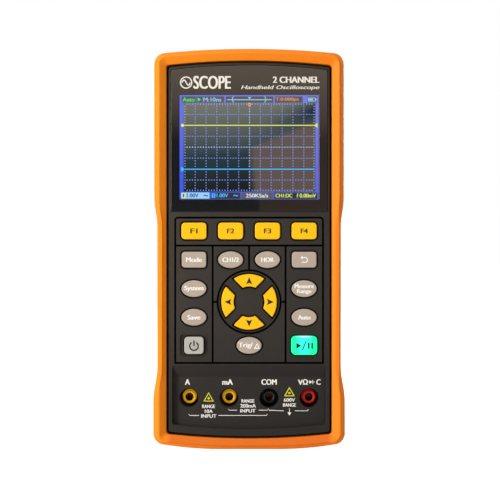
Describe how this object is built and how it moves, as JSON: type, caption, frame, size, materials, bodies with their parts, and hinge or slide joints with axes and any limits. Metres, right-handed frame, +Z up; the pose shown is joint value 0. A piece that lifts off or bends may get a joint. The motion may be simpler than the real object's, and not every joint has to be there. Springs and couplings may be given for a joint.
{
  "type": "handheld oscilloscope",
  "caption": "Handheld oscilloscope and multimeter in a waisted rubber boot, with a colour screen, a keypad, sunken test sockets and a fold-out tilt stand.",
  "frame": {"origin": "middle of the boot's foot, halfway through the depth", "axes": "+Z up the length, -Y out of the display, +X to the reader's right"},
  "size_m": [0.0948, 0.038, 0.198],
  "materials": {
    "boot_rubber": "soft moulded rubber with a fine grain",
    "case_plastic": "spark-textured moulding",
    "gasket_rubber": "silicone",
    "lens": "polished, printed black round the window",
    "screen": "lit display",
    "tin_plate": "tinned sheet",
    "flex_amber": "polyimide film",
    "key_yellow": "satin",
    "key_grey": "satin",
    "key_pale": "satin",
    "key_green": "translucent, lit from behind",
    "circuit_board": "solder mask",
    "black_plastic": "moulded",
    "ceramic": "glazed body with metal caps",
    "yellow_plastic": "moulded",
    "red_plastic": "moulded",
    "brass": "turned",
    "nickel": "plated",
    "fluoroplastic": "satin",
    "cell_wrap": "shrink sleeve",
    "steel": "machined"
  },
  "bodies": {
    "case": {"boot": "boot_rubber", "front_cover": "case_plastic", "rear_cover": "case_plastic", "battery_cover": "case_plastic", "case_gasket": "gasket_rubber", "key_mat": "gasket_rubber", "display_lens": "lens", "lcd_panel": "screen", "lcd_tray": "tin_plate", "shield_can": "tin_plate", "fuse_holder_large": "tin_plate", "fuse_holder_small": "tin_plate", "lcd_flex": "flex_amber", "main_board": "circuit_board", "meter_board": "circuit_board", "buzzer": "black_plastic", "battery_holder": "black_plastic", "jack_sleeve_common": "black_plastic", "fuse_large": "ceramic", "fuse_small": "ceramic", "jack_sleeve_amps": "yellow_plastic", "jack_sleeve_milliamps": "yellow_plastic", "jack_sleeve_volts": "red_plastic", "jack_contact_amps": "brass", "jack_contact_milliamps": "brass", "jack_contact_common": "brass", "jack_contact_volts": "brass", "bnc_one": "nickel", "bnc_two": "nickel", "usb_socket": "nickel", "bnc_insulator_one": "fluoroplastic", "bnc_insulator_two": "fluoroplastic", "battery_cell_one": "cell_wrap", "battery_cell_two": "cell_wrap", "battery_cover_screw": "steel", "kickstand_pin": "steel", "case_screw_1": "steel", "case_screw_2": "steel", "case_screw_3": "steel", "case_screw_4": "steel"},
    "key_f1": {"key_f1": "key_yellow"},
    "key_f2": {"key_f2": "key_yellow"},
    "key_f3": {"key_f3": "key_yellow"},
    "key_f4": {"key_f4": "key_yellow"},
    "key_mode": {"key_mode": "key_grey"},
    "key_channel": {"key_channel": "key_grey"},
    "key_horizontal": {"key_horizontal": "key_grey"},
    "key_back": {"key_back": "key_grey"},
    "key_system": {"key_system": "key_grey"},
    "key_measure": {"key_measure": "key_grey"},
    "key_save": {"key_save": "key_grey"},
    "key_auto": {"key_auto": "key_grey"},
    "key_power": {"key_power": "key_pale"},
    "key_trigger": {"key_trigger": "key_grey"},
    "key_run": {"key_run": "key_green"},
    "key_right": {"key_right": "key_yellow"},
    "key_up": {"key_up": "key_yellow"},
    "key_left": {"key_left": "key_yellow"},
    "key_down": {"key_down": "key_yellow"},
    "kickstand": {"kickstand": "case_plastic"}
  },
  "joints": [
    {"name": "press_f1", "type": "slide", "parent": "case", "child": "key_f1", "axis": [0, 1, 0], "range_m": [0, 0.0008], "stiffness_N_per_m": 700},
    {"name": "press_f2", "type": "slide", "parent": "case", "child": "key_f2", "axis": [0, 1, 0], "range_m": [0, 0.0008], "stiffness_N_per_m": 700},
    {"name": "press_f3", "type": "slide", "parent": "case", "child": "key_f3", "axis": [0, 1, 0], "range_m": [0, 0.0008], "stiffness_N_per_m": 700},
    {"name": "press_f4", "type": "slide", "parent": "case", "child": "key_f4", "axis": [0, 1, 0], "range_m": [0, 0.0008], "stiffness_N_per_m": 700},
    {"name": "press_mode", "type": "slide", "parent": "case", "child": "key_mode", "axis": [0, 1, 0], "range_m": [0, 0.0008], "stiffness_N_per_m": 700},
    {"name": "press_channel", "type": "slide", "parent": "case", "child": "key_channel", "axis": [0, 1, 0], "range_m": [0, 0.0008], "stiffness_N_per_m": 700},
    {"name": "press_horizontal", "type": "slide", "parent": "case", "child": "key_horizontal", "axis": [0, 1, 0], "range_m": [0, 0.0008], "stiffness_N_per_m": 700},
    {"name": "press_back", "type": "slide", "parent": "case", "child": "key_back", "axis": [0, 1, 0], "range_m": [0, 0.0008], "stiffness_N_per_m": 700},
    {"name": "press_system", "type": "slide", "parent": "case", "child": "key_system", "axis": [0, 1, 0], "range_m": [0, 0.0008], "stiffness_N_per_m": 700},
    {"name": "press_measure", "type": "slide", "parent": "case", "child": "key_measure", "axis": [0, 1, 0], "range_m": [0, 0.0008], "stiffness_N_per_m": 700},
    {"name": "press_save", "type": "slide", "parent": "case", "child": "key_save", "axis": [0, 1, 0], "range_m": [0, 0.0008], "stiffness_N_per_m": 700},
    {"name": "press_auto", "type": "slide", "parent": "case", "child": "key_auto", "axis": [0, 1, 0], "range_m": [0, 0.0008], "stiffness_N_per_m": 700},
    {"name": "press_power", "type": "slide", "parent": "case", "child": "key_power", "axis": [0, 1, 0], "range_m": [0, 0.0008], "stiffness_N_per_m": 700},
    {"name": "press_trigger", "type": "slide", "parent": "case", "child": "key_trigger", "axis": [0, 1, 0], "range_m": [0, 0.0008], "stiffness_N_per_m": 700},
    {"name": "press_run", "type": "slide", "parent": "case", "child": "key_run", "axis": [0, 1, 0], "range_m": [0, 0.0008], "stiffness_N_per_m": 700},
    {"name": "press_right", "type": "slide", "parent": "case", "child": "key_right", "axis": [0, 1, 0], "range_m": [0, 0.0008], "stiffness_N_per_m": 700},
    {"name": "press_up", "type": "slide", "parent": "case", "child": "key_up", "axis": [0, 1, 0], "range_m": [0, 0.0008], "stiffness_N_per_m": 700},
    {"name": "press_left", "type": "slide", "parent": "case", "child": "key_left", "axis": [0, 1, 0], "range_m": [0, 0.0008], "stiffness_N_per_m": 700},
    {"name": "press_down", "type": "slide", "parent": "case", "child": "key_down", "axis": [0, 1, 0], "range_m": [0, 0.0008], "stiffness_N_per_m": 700},
    {"name": "stand_fold", "type": "hinge", "parent": "case", "child": "kickstand", "pos_m": [0, 0.0161, 0.1363], "axis": [1, 0, 0], "range_deg": [0, 65]}
  ]
}
